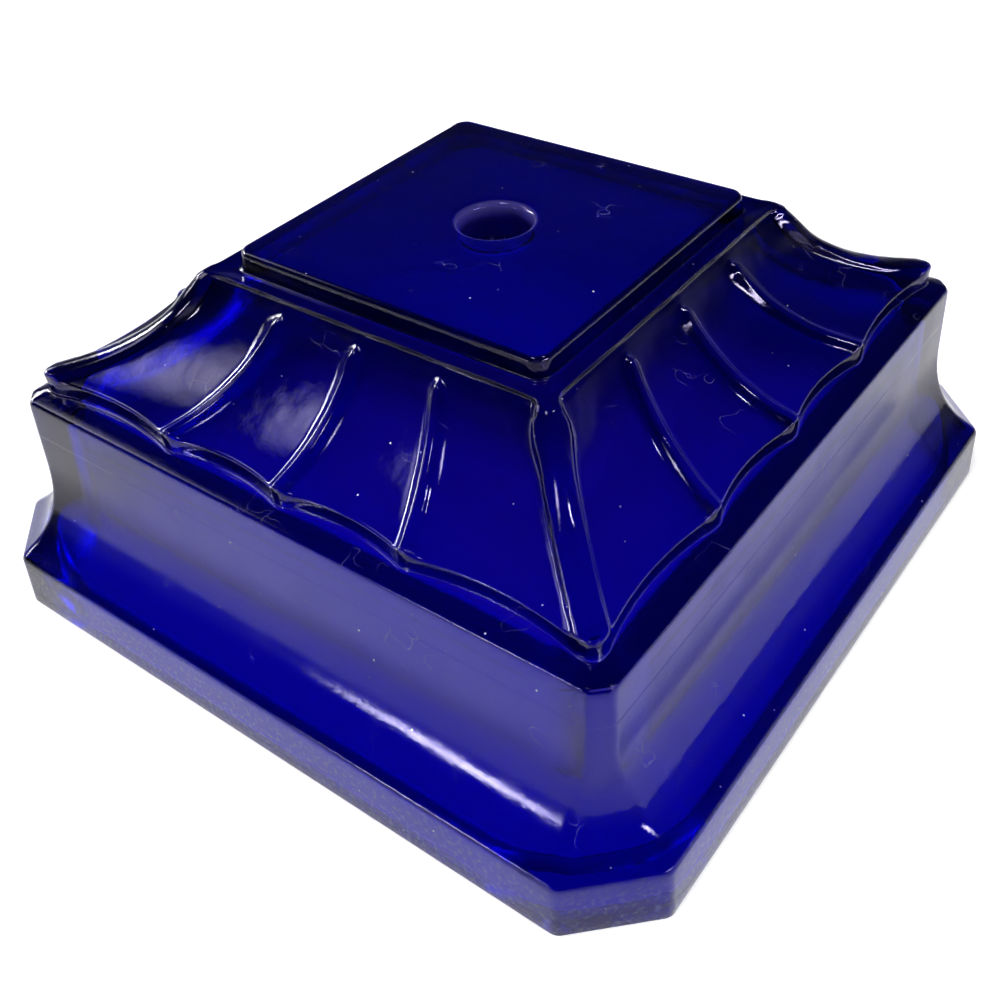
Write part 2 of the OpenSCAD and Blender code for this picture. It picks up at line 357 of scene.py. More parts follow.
# %% Stations of the wall
LEDGE_CORNER_GAIN = 0.7
LEDGE_BITE = -0.3  # the ledge's first ring still follows the scallops by this much
RIM_CORNER_R, FOOT_CORNER_R = 1.7, 2.0


def wall_stations():
    corner = np.array(corner_wall)[::-1]
    found = []
    for i, (x, z) in enumerate(side_wall):
        diagonal = np.interp(z, corner[:, 1], corner[:, 0])
        cut = max(2 * x - ROOT2 * diagonal, rim_clip)
        if z < foot_edge_r:
            cut = foot_clip - ROUND_CUT * (foot_half - x)
        if z > rim_h:
            share = clip((rim_half - x) / (rim_half - skirt_half - ledge_gap))
            cut = mix(rim_clip, ROUND_CUT * (skirt_corner_r + LEDGE_CORNER_GAIN), share)
        clipped = clip((cut - rim_clip) / (foot_clip - rim_clip))
        found.append(Station(x, z, mix(RIM_CORNER_R, FOOT_CORNER_R, clipped), cut,
                             along=sweep_length, pull=(0 if i else LEDGE_BITE, 0)))
    return found


outside = top_rings + skirt_rings + wall_stations()
print("stations outside:", len(outside))

# %% [markdown]
# ## The hollow underneath
# The plunger that presses the glass leaves a smooth hollow that follows the outside and
# widens downwards, so that it can be drawn out. Its skin needs fewer stations, because
# nothing on it is finer than its rounded corners.

# %% Stations of the inside
skirt_t, wall_t = 5.4, 5.0  # thickness of the glass
inner_top = top_h - plate_t
turn_h = rim_h - 2.6  # here the hollow's walls turn into its roof
roof_corner_cut, wall_corner_cut, foot_corner_cut = 3.4, 4.8, 11.6
cut_change_h = 12  # each cut turns into the next over this height
roof_flat_half, roof_fillet_r, roof_fillet_w = 14, 4.0, 4.5
roof_from, roof_share = 0.09, 0.93  # the part of the skirt's arc that the roof follows
under_flat, off_wall = 0.6, 3.4  # the roof's arc stops this far from its neighbours
ROOF_RINGS, HOLE_RINGS, EDGE_RINGS = 12, 5, 4
HOLLOW_ROUND, WIDEST_CUT = 0.8, 0.5  # shares of a round corner, and of the half width


def under_the_sweep(side):
    """The hollow's roof: the skirt's arc again, one skirt thickness further in."""
    found = []
    for k in range(ROOF_RINGS, -1, -1):
        x, z = on_sweep(roof_from + roof_share * k / ROOF_RINGS, skirt_t)
        if z < inner_top - under_flat and x < side - off_wall:
            found.append((x, z, 0, 0, 1))
    return found


def hollow_stations():
    side, foot = rim_half - wall_t, foot_half - wall_t
    roof = under_the_sweep(side)
    path = rounded_path([
        (foot + 1.6, 0, 0, 0, 1),  # on the sole
        (foot - 0.1, 0, 0.9, 5, 3),  # round its inner edge
        (foot - 0.6, 5.0, 3.0, 5, 2),  # up inside the foot band
        (side + 1.4, cove_h - 2.4, 9, 8, 5),  # in behind the cove
        (side, turn_h, 3.0, 8, 1),  # up the wall
        *roof,
        (roof[-1][0] - roof_fillet_w, inner_top, roof_fillet_r, 7, 3),
        (roof_flat_half, inner_top, 0, 0, 1)])
    found = []
    for x, z in path:
        if z < turn_h:
            cut = mix(wall_corner_cut, foot_corner_cut, clip((cove_h - z) / cut_change_h))
        else:
            cut = mix(wall_corner_cut, roof_corner_cut, clip((z - turn_h) / cut_change_h))
        corner_r = cut / ROUND_CUT * HOLLOW_ROUND
        found.append(Station(x, z, corner_r, min(cut, x * WIDEST_CUT)))
    return found


def hollow_hole_stations():
    """From the flat roof in to the bore, and up round its edge."""
    found = []
    for k in range(1, HOLE_RINGS):
        found.append(Station(roof_flat_half, inner_top, roof_corner_cut,
                             circle=hole_r + bore_edge_r, spread=1 - k / HOLE_RINGS))
    for k in range(EDGE_RINGS + 1):
        a = math.pi / 2 * k / EDGE_RINGS
        found.append(Station(roof_flat_half, inner_top + bore_edge_r * (1 - math.cos(a)),
                             roof_corner_cut, circle=hole_r + bore_edge_r * (1 - math.sin(a))))
    return found


stations = outside + hollow_stations() + hollow_hole_stations()
print("stations in all:", len(stations))

# %% [markdown]
# ## From stations to a mesh
# Each ring has the same number of points, placed by the same rule, so that point 40 of
# one ring always joins point 40 of the next. The rule puts most points close to the
# ribs and the corners, where the glass turns sharply, and few in the flat middle of a
# flute. The first and last rings join too, through the hole, which closes the skin.

# %% Rings
FLUTE_STEPS, ARC_STEPS, CUT_STEPS = 22, 5, 1
CROWDING = 0.72
rib_head_x, rib_foot_x = 14.0, 21.4  # from the middle of a side to its outer rib
rib_last_gain = 0.4  # below the skirt the place of the rib moves out by no more than this
knob_reach = 11.0  # how far from a corner its fullness starts


def crowded(steps):
    """Even steps from 0 to 1, drawn towards both ends."""
    even = np.linspace(0, 1, steps + 1)
    return even - CROWDING * np.sin(2 * math.pi * even) / (2 * math.pi)


def rib_place(out):
    """How far the outer rib is from the middle of a side of that half width."""
    at_head, at_foot = on_sweep(0)[0], on_sweep(1)[0]
    if out < at_head:
        return rib_head_x * out / at_head
    down = (out - at_head) / (at_foot - at_head)
    return min(mix(rib_head_x, rib_foot_x, down), rib_foot_x + rib_last_gain)


def half_side(st):
    """Points from the middle of a side to its corner: along, outwards, and the normal."""
    tangent = st.corner_r * math.tan(math.pi / 8)
    straight = st.out - st.cut - tangent
    rib = rib_place(st.out)
    rows = [(x, st.out, 0, 1) for x in crowded(FLUTE_STEPS) * rib]
    rows += [(mix(rib, straight, t), st.out, 0, 1) for t in crowded(FLUTE_STEPS)[1:]]
    for a in np.linspace(0, math.pi / 4, ARC_STEPS + 1)[1:]:
        rows.append((straight + st.corner_r * math.sin(a),
                     st.out - st.corner_r * (1 - math.cos(a)), math.sin(a), math.cos(a)))
    end = np.array(rows[-1][:2])
    corner = np.array([st.out - st.cut / 2] * 2)
    for t in np.linspace(0, 1, CUT_STEPS + 1)[1:]:
        rows.append((*mix(end, corner, t), 1 / ROOT2, 1 / ROOT2))
    rows = np.array(rows)
    # The corner swells along its normal, from nothing at knob_reach to its full height.
    near = np.clip((rows[:, 0] - st.out + knob_reach) / (0.5 * knob_reach), 0, 1)[:, None]
    rows[:, :2] += rows[:, 2:] * st.knob * near ** 2 * (3 - 2 * near)
    return rows


def full_ring(st):
    """Points of the whole ring, its outward normals, and the place along each side."""
    half = half_side(st)
    left = half[:0:-1] * [-1, 1, -1, 1]
    side = np.concatenate([left, half[:-1]])
    places, normals, across = [], [], []
    for quarter in range(4):
        a = math.pi / 2 * quarter
        turn = np.array([[math.cos(a), -math.sin(a)], [math.sin(a), math.cos(a)]])
        places.append(np.column_stack([side[:, 0], -side[:, 1]]) @ turn.T)
        normals.append(np.column_stack([side[:, 2], -side[:, 3]]) @ turn.T)
        across.append(side[:, 0])
    places, normals = np.concatenate(places), np.concatenate(normals)
    if st.circle:
        angle = np.arctan2(places[:, 1], places[:, 0])
        round_ring = np.column_stack([np.cos(angle), np.sin(angle)]) * st.circle
        places = mix(round_ring, places, st.spread)
    return places, normals, np.concatenate(across)


ring_size = len(full_ring(stations[0])[0])
print("points in one ring:", ring_size)

# %% [markdown]
# ## The blank
# The blank is the base before its pattern is pressed. Every point carries what the press
# needs to know, as named attributes: how far along its side and down the skirt it is,
# where the outer rib runs there, and which way the glass may be pushed and pulled.

# %% One closed skin through every station
def shell_quads(rings, n):
    """Faces between each ring and the next, and from the last ring back to the first."""
    j, i = np.meshgrid(np.arange(rings), np.arange(n), indexing="ij")
    j, i = j.ravel(), i.ravel()
    after, beside = (j + 1) % rings, (i + 1) % n
    return np.column_stack([j * n + i, after * n + i, after * n + beside, j * n + beside])


def build_blank(name):
    places, press, pull = [], [], []
    numbers = {"across": [], "outer_rib": [], "reach": [], "along": [], "inner_skin": []}
    for number, st in enumerate(stations):
        ring, normal, side = full_ring(st)
        same = np.ones(ring_size)
        places.append(np.column_stack([ring, same * st.up]))
        numbers["across"].append(side)
        numbers["outer_rib"].append(same * rib_place(st.out))
        numbers["reach"].append(same * st.out)
        numbers["along"].append(same * st.along)
        numbers["inner_skin"].append(same * (number >= len(outside)))
        for store, (outwards, up) in ((press, st.press), (pull, st.pull)):
            store.append(np.column_stack([normal * outwards, same * up]))
    mesh = bpy.data.meshes.new(name)
    points = np.concatenate(places) * MM
    mesh.from_pydata(points.tolist(), [], shell_quads(len(stations), ring_size).tolist())
    for key, values in numbers.items():
        stored = mesh.attributes.new(key, "FLOAT", "POINT")
        stored.data.foreach_set("value", np.concatenate(values))
    for key, values in (("press", press), ("pull", pull)):
        stored = mesh.attributes.new(key, "FLOAT_VECTOR", "POINT")
        stored.data.foreach_set("vector", np.concatenate(values).ravel())
    obj = bpy.data.objects.new(name, mesh)
    bpy.context.scene.collection.objects.link(obj)
    return obj


blank = build_blank("glass_blank")
print("blank:", len(blank.data.polygons), "quads")

# %% [markdown]
# ## Pressing the flutes
# On the real base the mould carries the pattern: four flutes on each side with thin ribs
# between them, a heavy rib on every corner, and a scallop in the skirt's edge below each
# flute. Carving them by hand would never give sixteen that are alike, and cutting them
# with solids would leave hard edges where the glass is soft. All of them follow one
# rule, so Geometry Nodes make them. The rule measures how far a point is from the
# nearest rib and from the rib's head, and presses the glass in by that. The ribs are
# what is left standing, with crisp crests and small round heads below the shoulder.
# Changing one named input re-cuts all sixteen flutes.

# %% One function that adds a node
ROW_OF_NODES, NODE_W, NODE_H = 12, 190, 220  # so that the tree can be read in the editor


def add_node(tree, kind, links=None, **settings):
    """A new node: settings are its properties, links its inputs, as values or sockets."""
    made = tree.nodes.new(kind)
    row, column = divmod(len(tree.nodes), ROW_OF_NODES)
    made.location = (NODE_W * column, -NODE_H * row)
    for key, value in settings.items():
        setattr(made, key, value)
    for key, value in (links or {}).items():
        if isinstance(value, bpy.types.NodeSocket):
            tree.links.new(value, made.inputs[key])
        else:
            made.inputs[key].default_value = value
    return made


print("ready to add nodes in Blender", bpy.app.version_string)

# %% The press's sizes and its rule
PRESS_SIZES = {  # millimetres, but for the last, which is a share
    "Rib crest": 1.3, "Corner crest": 3.9, "Flank width": 1.5, "Flank depth": 0.8,
    "Scoop depth": 0.35, "Head start": 0.6, "Head length": 2.4, "Head taper": 2.6,
    "Scallop depth": 1.5, "Corner hold": 0.7,
}
# Each line is one Math node: the name of its result, its operation, and its terms.
PRESS_RULE = (
    ("side", "ABSOLUTE", "across"),
    ("half crest", "MULTIPLY", "Rib crest", 0.5),
    ("corner half", "DIVIDE", "Corner crest", ROOT2),
    ("is outer", "GREATER_THAN", "side", "outer_rib"),
    # The flute that this point is in runs from left to right.
    ("left", "MULTIPLY_ADD", "outer_rib", "is outer", "half crest"),
    ("inner right", "SUBTRACT", "outer_rib", "half crest"),
    ("outer right", "SUBTRACT", "reach", "corner half"),
    ("right gain", "SUBTRACT", "outer right", "inner right"),
    ("right", "MULTIPLY_ADD", "right gain", "is outer", "inner right"),
    ("from left", "SUBTRACT", "side", "left"),
    ("to right", "SUBTRACT", "right", "side"),
    # A rib grows out of the sweep at its head, where it is a rounded point.
    ("past head", "SUBTRACT", "along", "Head start"),
    ("head share", "DIVIDE", "past head", "Head length"),
    ("low head", "MAXIMUM", "head share", 0.0),
    ("h", "MINIMUM", "low head", 1.0),
    ("lack", "SUBTRACT", 1.0, "h"),
    ("lack square", "MULTIPLY", "lack", "lack"),
    ("taper", "MULTIPLY", "lack square", "Head taper"),
    ("left gap", "ADD", "from left", "taper"),
    # The heavy rib on the corner runs on almost whole into the shoulder.
    ("held", "MULTIPLY", "is outer", "Corner hold"),
    ("free", "SUBTRACT", 1.0, "held"),
    ("right gap", "MULTIPLY_ADD", "taper", "free", "to right"),
    ("gap", "MINIMUM", "left gap", "right gap"),
    # Its flank is a hollow curve from the crest's crisp edge to the floor of the flute.
    ("share", "DIVIDE", "gap", "Flank width"),
    ("low share", "MAXIMUM", "share", 0.0),
    ("t", "MINIMUM", "low share", 1.0),
    ("to floor", "SUBTRACT", 1.0, "t"),
    ("floor square", "MULTIPLY", "to floor", "to floor"),
    ("slope", "SUBTRACT", 1.0, "floor square"),
    ("flank mm", "MULTIPLY", "slope", "Flank depth"),
    # Across its width the floor is one hollow curve, and so is the bite in the edge.
    ("span", "SUBTRACT", "right", "left"),
    ("place", "DIVIDE", "from left", "span"),
    ("low place", "MAXIMUM", "place", 0.0),
    ("q", "MINIMUM", "low place", 1.0),
    ("rest", "SUBTRACT", 1.0, "q"),
    ("quarter bow", "MULTIPLY", "rest", "q"),
    ("bow", "MULTIPLY", "quarter bow", 4.0),
    ("depth mm", "MULTIPLY_ADD", "bow", "Scoop depth", "flank mm"),
    ("depth", "MULTIPLY", "depth mm", MM),
    ("bite mm", "MULTIPLY", "bow", "Scallop depth"),
    ("bite", "MULTIPLY", "bite mm", MM),
)
print("the rule has", len(PRESS_RULE), "steps")

# %% The press, as a node tree
def press_tree():
    tree = bpy.data.node_groups.new("press_skirt", "GeometryNodeTree")
    sockets = [("Geometry", "INPUT", "Geometry"),
               *((name, "INPUT", "Float") for name in PRESS_SIZES),
               ("Material", "INPUT", "Material"), ("Geometry", "OUTPUT", "Geometry")]
    for name, way, kind in sockets:
        made = tree.interface.new_socket(name, in_out=way, socket_type="NodeSocket" + kind)
        if name in PRESS_SIZES:
            made.default_value = PRESS_SIZES[name]
    given = add_node(tree, "NodeGroupInput").outputs

    found = {name: given[name] for name in PRESS_SIZES}
    for name in ("across", "outer_rib", "reach", "along", "press", "pull"):
        kind = "FLOAT_VECTOR" if name in ("press", "pull") else "FLOAT"
        found[name] = add_node(tree, "GeometryNodeInputNamedAttribute", {"Name": name},
                               data_type=kind).outputs[0]
    for result, operation, *terms in PRESS_RULE:
        links = {i: found.get(term, term) for i, term in enumerate(terms)}
        found[result] = add_node(tree, "ShaderNodeMath", links,
                                 operation=operation).outputs[0]
    pressed, pulled = (
        add_node(tree, "ShaderNodeVectorMath", {0: found[way], "Scale": found[amount]},
                 operation="SCALE").outputs[0]
        for way, amount in (("press", "depth"), ("pull", "bite")))
    both = add_node(tree, "ShaderNodeVectorMath", {0: pressed, 1: pulled})
    moved = add_node(tree, "GeometryNodeSetPosition",
                     {"Geometry": given["Geometry"], "Offset": both.outputs[0]})
    rounded = add_node(tree, "GeometryNodeSetShadeSmooth", {"Geometry": moved.outputs[0]})
    whole = add_node(tree, "GeometryNodeRealizeInstances", {"Geometry": rounded.outputs[0]})
    finished = add_node(tree, "GeometryNodeSetMaterial",
                        {"Geometry": whole.outputs[0], "Material": given["Material"]})
    add_node(tree, "NodeGroupOutput", {"Geometry": finished.outputs[0]})
    return tree


skirt_press = press_tree()
print("press tree:", len(skirt_press.nodes), "nodes")

# %% [markdown]
# ## The glass
# The real one is cobalt-blue soda-lime glass, pressed in an iron mould and fire
# polished. Its colour is all through it. Paint would look the same all over, so the
# blue comes from absorption along each ray's way through the glass: thin places glow
# and thick ones go almost black. On the skirt and under the plate, a darker skin tint adds
# painted shade on top. The material is built up in steps, and each step is a
# few nodes that read Object coordinates, so nothing slides when the view moves.

# %% Colours
def linear(hex_colour):
    """An sRGB hex colour as the linear RGBA that shaders use."""
    parts = [int(hex_colour[i:i + 2], 16) / 255 for i in (1, 3, 5)]
    return (*(p / 12.92 if p <= 0.04045 else ((p + 0.055) / 1.055) ** 2.4 for p in parts), 1.0)


print("middle grey in linear light:", round(linear("#808080")[0], 3))

# %% The material, and where a point of it is
glass = bpy.data.materials.new("pressed_cobalt_glass")
glass.use_nodes = True
melt = glass.node_tree
melt.nodes.clear()
place = add_node(melt, "ShaderNodeTexCoord").outputs["Object"]
height = add_node(melt, "ShaderNodeSeparateXYZ", {"Vector": place}).outputs["Z"]
inner = add_node(melt, "ShaderNodeAttribute", attribute_name="inner_skin").outputs["Fac"]
print("started", glass.name)

# %% [markdown]
# ### Heights
# Most of what changes on the glass changes with its height: the skirt is more uneven
# than the walls, and the foot is scuffed. The skin is painted darker on the skirt and
# under the plate, as painted shade, while the plate keeps the wall's tint. The top of the
# bore is painted paler, as painted light. A ramp turns a height into a share. They are
# all made here, from one table, and the steps below pick the ones they need.

# %% One ramp for each zone of heights
ZONES = (  # name, heights in millimetres, the share at each of them, and soft ends or not
    ("skirt", 38, 42, 0, 1, True),
    ("below the plate", 52, 54, 1, 0, False),
    ("seam", 29.4, 29.6, 0, 1, False),
    ("near the foot", 3, 10, 1, 0, False),
    # painted light: the bore is paler towards its top, where light falls in
    ("painted light in the bore", top_h - 0.45 * plate_t, top_h - 0.6 * hole_lip_r, 0.12, 1, True),
    ("above the cove", 13.5, 17.5, 0, 0.14, False),
    ("below the rim", 35.5, 33.5, 0, 1, False),
    # painted shade: this zone and the next set where the skin's darker blues go
    ("roof", 33, 40, 0, 1, True),
    ("painted shade under the plate", 42, 46, 0, inner, False),
)
zone = {}
for name, low, high, low_share, high_share, soft in ZONES:
    zone[name] = add_node(melt, "ShaderNodeMapRange", {
        "Value": height, "From Min": low * MM, "From Max": high * MM,
        "To Min": low_share, "To Max": high_share},
        interpolation_type="SMOOTHSTEP" if soft else "LINEAR")
print("zones:", ", ".join(zone))

# %% [markdown]
# ### The skin that the mould leaves
# Pressed glass is smooth but never flat. It has slow waves where it chilled against the
# iron, quicker ones on the skirt, where the mould is most worn, one fine seam round the
# wall, and an orange peel all over. Real waves are too shallow to model, so they are
# bumps, each laid on the one before. The eye reads them as broken, wobbling highlights.

# %% Bumps of the skin
SKIN = (  # name, millimetres from one bump to the next, fine detail, depth in millimetres
    ("waves", 22, 0, 0.25), ("wobble", 5, 1, 0.17), ("seam", None, 0, 0.03),
    ("peel", 0.9, 1, 0.014),
)
on_flutes = add_node(melt, "ShaderNodeMath", {
    0: zone["skirt"].outputs[0], 1: zone["below the plate"].outputs[0]},
    operation="MULTIPLY")
below = {}
for name, spacing, detail, depth in SKIN:
    relief = zone["seam"] if name == "seam" else add_node(melt, "ShaderNodeTexNoise", {
        "Vector": place, "Scale": 1 / (spacing * MM), "Detail": detail})
    bump = add_node(melt, "ShaderNodeBump", {
        "Height": relief.outputs[0], "Distance": depth * MM,
        "Strength": on_flutes.outputs[0] if name == "wobble" else 1.0, **below})
    below = {"Normal": bump.outputs[0]}
skin = bump.outputs[0]
print("bumps of the skin:", len(SKIN))

# %% [markdown]
# ### Wear, and painted light in the bore
# Years on a shelf leave hairline scratches with dust in them, a few specks, and a
# scuffed foot where the base was slid about. The lip of the hole and the top of the bore
# are painted a pale lilac that fades down the bore: this is painted light, falling into
# the hole from above. All of these are places where the glass isn't clear, so each step
# gives a share from 0, for clear glass, to 1, and the largest share counts.

# %% Scratches and specks
patch_size, bend = 8, 20  # millimetres
# Real hairlines are half this wide, and would be too fine to show.
scratch_cell, scratch_w, scratch_share = 7, 0.042, 0.35  # millimetres, and how white
speck_cell, speck_r = 2.6, 0.143
SCRATCHED, SPECKED = (0.60, 0.70), (0.6, 1.0)  # noise from which a mark starts, and is full

patchy = add_node(melt, "ShaderNodeTexNoise", {
    "Vector": place, "Scale": 1 / (patch_size * MM), "Detail": 2.0})
# A scratch is the thin wall between two cells. Moving the cells about bends it.
bent = add_node(melt, "ShaderNodeVectorMath", {
    0: patchy.outputs["Color"], 1: (bend * MM, bend * MM, bend * MM), 2: place},
    operation="MULTIPLY_ADD")
cells = add_node(melt, "ShaderNodeTexVoronoi", {
    "Vector": bent.outputs[0], "Scale": 1 / (scratch_cell * MM)}, feature="DISTANCE_TO_EDGE")
hair = add_node(melt, "ShaderNodeMath", {
    0: cells.outputs["Distance"], 1: scratch_w / scratch_cell}, operation="LESS_THAN")
here_and_there = add_node(melt, "ShaderNodeMapRange", {
    "Value": patchy.outputs[0], "From Min": SCRATCHED[0], "From Max": SCRATCHED[1],
    "To Max": scratch_share})
grains = add_node(melt, "ShaderNodeTexVoronoi", {
    "Vector": place, "Scale": 1 / (speck_cell * MM)})
grain = add_node(melt, "ShaderNodeMath", {
    0: grains.outputs["Distance"], 1: speck_r / speck_cell}, operation="LESS_THAN")
grain_kind = add_node(melt, "ShaderNodeSeparateColor", {"Color": grains.outputs["Color"]})
few = add_node(melt, "ShaderNodeMapRange", {
    "Value": grain_kind.outputs[0], "From Min": SPECKED[0], "From Max": SPECKED[1]})
print("scratches", scratch_w, "mm wide, specks", 2 * speck_r, "mm wide")

# %% The painted light on the lip, and the scuffed foot
lip_share, scuff_share = 0.2, 0.22
scuff_size, SCUFFED = 0.8, (0.52, 0.70)

flat = add_node(melt, "ShaderNodeVectorMath", {0: place, 1: (1, 1, 0)}, operation="MULTIPLY")
from_axis = add_node(melt, "ShaderNodeVectorMath", {0: flat.outputs[0]}, operation="LENGTH")
# Painted light: a pale ring on the lip and down the bore.
round_hole = add_node(melt, "ShaderNodeMapRange", {
    "Value": from_axis.outputs["Value"], "From Min": (hole_r + hole_lip_r) * MM,
    "From Max": (hole_r + 0.5 * hole_lip_r) * MM, "To Max": lip_share})
scuffs = add_node(melt, "ShaderNodeTexNoise", {
    "Vector": place, "Scale": 1 / (scuff_size * MM), "Detail": 2.0})
scuffed = add_node(melt, "ShaderNodeMapRange", {
    "Value": scuffs.outputs[0], "From Min": SCUFFED[0], "From Max": SCUFFED[1],
    "To Max": scuff_share})
print("the painted lip ring is", 2 * (hole_r + hole_lip_r), "mm wide")

# %% All the wear and the painted light in the bore, on the outside only
dust_and_painted_light = None
# The lip's ring, scaled by the share up the bore, is painted light from above.
for pattern, amount in ((hair, here_and_there), (grain, few),
                        (round_hole, zone["painted light in the bore"]), (scuffed, zone["near the foot"])):
    mark = add_node(melt, "ShaderNodeMath", {0: pattern.outputs[0], 1: amount.outputs[0]},
                    operation="MULTIPLY")
    dust_and_painted_light = mark if dust_and_painted_light is None else add_node(
        melt, "ShaderNodeMath", {0: dust_and_painted_light.outputs[0], 1: mark.outputs[0]}, operation="MAXIMUM")
outer = add_node(melt, "ShaderNodeMath", {0: 1.0, 1: inner}, operation="SUBTRACT")
dust_and_painted_light = add_node(melt, "ShaderNodeMath", {0: dust_and_painted_light.outputs[0], 1: outer.outputs[0]},
                operation="MULTIPLY")
clear = add_node(melt, "ShaderNodeMath", {0: 1.0, 1: dust_and_painted_light.outputs[0]}, operation="SUBTRACT")
print("nodes so far:", len(melt.nodes))

# %% [markdown]
# ### Polish
# The outside is fire polished, so it mirrors the room, with slightly duller patches.
# The plain wall lies against the mould longest and is duller still. The side that the
# plunger touched is matt, which is why the hollow is a dark glow and not a clear window.

# %% Roughness
polished, worn_polish, plunger_matt = 0.04, 0.11, 0.38
DULLED = (0.45, 0.70)

dull = add_node(melt, "ShaderNodeMapRange", {
    "Value": patchy.outputs[0], "From Min": DULLED[0], "From Max": DULLED[1],
    "To Min": polished, "To Max": worn_polish})
outer_rough = add_node(melt, "ShaderNodeMath", {
    0: zone["above the cove"].outputs[0], 1: zone["below the rim"].outputs[0],
    2: dull.outputs[0]}, operation="MULTIPLY_ADD")
rough = add_node(melt, "ShaderNodeMix", {
    "Factor": inner, "A": outer_rough.outputs[0], "B": plunger_matt})
print("roughness from", polished, "outside to", plunger_matt, "inside")

# %% [markdown]
# ### Colour
# Absorption gives most of the blue. The skin adds a tint each time a ray passes it.
# The tint is darker on the skirt than on the walls, and darkest where the hollow closes
# in under the plate: this is painted shade, for the shade that falls there. Where there is
# dust, or the painted light in the bore, the skin is a pale lilac.

# %% Tint of the skin, with painted shade on the skirt and under the plate
# The skirt's and the crown's blues are darker than the wall's: they are painted shade.
WALL_BLUE, SKIRT_SHADE_BLUE, CROWN_SHADE_BLUE = "#3012d7", "#3012a6", "#190a59"
DUST_LILAC = "#dcd8ea"
plate_low, plate_drop, plate_fade = 53.9, 5.0, 0.3  # the plate's tint starts lower inside

plate_from = add_node(melt, "ShaderNodeMath", {
    0: inner, 1: -plate_drop * MM, 2: plate_low * MM}, operation="MULTIPLY_ADD")
above_plate = add_node(melt, "ShaderNodeMath", {0: height, 1: plate_from.outputs[0]},
                       operation="SUBTRACT")
on_plate = add_node(melt, "ShaderNodeMapRange", {
    "Value": above_plate.outputs[0], "From Max": plate_fade * MM})
# Painted shade: 1 on the skirt and the hollow's roof, 0 on the wall and the plate.
painted_shade_share = add_node(melt, "ShaderNodeMath", {
    0: zone["roof"].outputs[0], 1: on_plate.outputs[0]}, operation="SUBTRACT")
skirt_painted_shade = add_node(melt, "ShaderNodeMixRGB", {
    0: zone["painted shade under the plate"].outputs[0], 1: linear(SKIRT_SHADE_BLUE), 2: linear(CROWN_SHADE_BLUE)})
tint = add_node(melt, "ShaderNodeMixRGB", {
    0: painted_shade_share.outputs[0], 1: linear(WALL_BLUE), 2: skirt_painted_shade.outputs[0]})
colour = add_node(melt, "ShaderNodeMixRGB", {
    0: dust_and_painted_light.outputs[0], 1: tint.outputs[0], 2: linear(DUST_LILAC)})
print("skin tints:", WALL_BLUE, SKIRT_SHADE_BLUE, CROWN_SHADE_BLUE)

# %% Surface and body
GLASS_IOR = 1.52  # soda-lime glass
MIRRORED, BODY_BLUE = "#a299bc", "#9500f1"  # tint of reflections, and of what gets through
absorption = 450  # per metre

surface = add_node(melt, "ShaderNodeBsdfPrincipled", {
    "Base Color": colour.outputs[0], "Roughness": rough.outputs[0], "IOR": GLASS_IOR,
    "Specular Tint": linear(MIRRORED), "Transmission Weight": clear.outputs[0],
    "Normal": skin})
body = add_node(melt, "ShaderNodeVolumeAbsorption", {
    "Color": linear(BODY_BLUE), "Density": absorption})
add_node(melt, "ShaderNodeOutputMaterial", {
    "Surface": surface.outputs[0], "Volume": body.outputs[0]})
print("made", glass.name, "with", len(melt.nodes), "nodes")

# %% [markdown]
# ## Cooling and taking out
# The press tree goes on the blank as a modifier. Its inputs are set by their
# identifiers, the object is evaluated once, and the result is kept as a plain mesh that
# stands for the solid model's own glass. A closed mesh has a volume, and a volume above
# nought shows that its faces point outwards.

# %% The finished glass
def finish_piece(obj, name, tree, values):
    modifier = obj.modifiers.new("press", "NODES")
    modifier.node_group = tree
    for item in tree.interface.items_tree:
        if item.item_type == "SOCKET" and item.in_out == "INPUT" and item.name in values:
            modifier[item.identifier] = values[item.name]
    graph = bpy.context.evaluated_depsgraph_get()
    mesh = bpy.data.meshes.new_from_object(obj.evaluated_get(graph))
    obj.modifiers.remove(modifier)
    bpy.data.objects.remove(obj)
    mesh.name = name
    piece = bpy.data.objects.new(name, mesh)
    bpy.context.scene.collection.objects.link(piece)
    return piece


def volume_of(mesh):
    """Cubic millimetres inside a closed mesh, below nought if it is inside out."""
    mesh.calc_loop_triangles()
    corners = np.array([mesh.vertices[i].co for t in mesh.loop_triangles for i in t.vertices])
    a, b, c = corners.reshape(-1, 3, 3).transpose(1, 0, 2)
    return np.einsum("ij,ij->i", a, np.cross(b, c)).sum() / 6 / MM ** 3


pressed_glass = finish_piece(blank, "pressed_glass", skirt_press,
                             {**PRESS_SIZES, "Material": glass})
print("glass:", round(volume_of(pressed_glass.data)), "mm3 in",
      len(pressed_glass.data.loop_triangles), "triangles")

# %% The glass joins the frame
for key in ("across", "outer_rib", "reach", "along", "press", "pull"):
    pressed_glass.data.attributes.remove(pressed_glass.data.attributes[key])
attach(pressed_glass, "root")
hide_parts("glass_base")
print("kept for the glass: inner_skin")

# %% [markdown]
# ## The paper floor
# Glass shows its surroundings, so the stage is part of its look. A pale paper floor
# runs out in a circle and turns up into a backdrop of the same paper, so that every view
# has the same plain ground. Only rays that look at the paper see it brightened, which
# makes it white without more light on the glass. This glow is a painted pool of light:
# it is strongest near the base and gone 2.4 m away. Higher up the paper fades to dark,
# because a bright room above would wash the dark plate out.

# %% White seamless paper: matt, with no gloss of its own
PAPER_WHITE = "#f4f4f4"
glow_near, glow_far, glow_most = 0.5, 2.4, 0.36  # metres from the base, and strength
fade_low, fade_high, fade_least = 0.2, 0.9, 0.12  # metres above the floor, and what is left


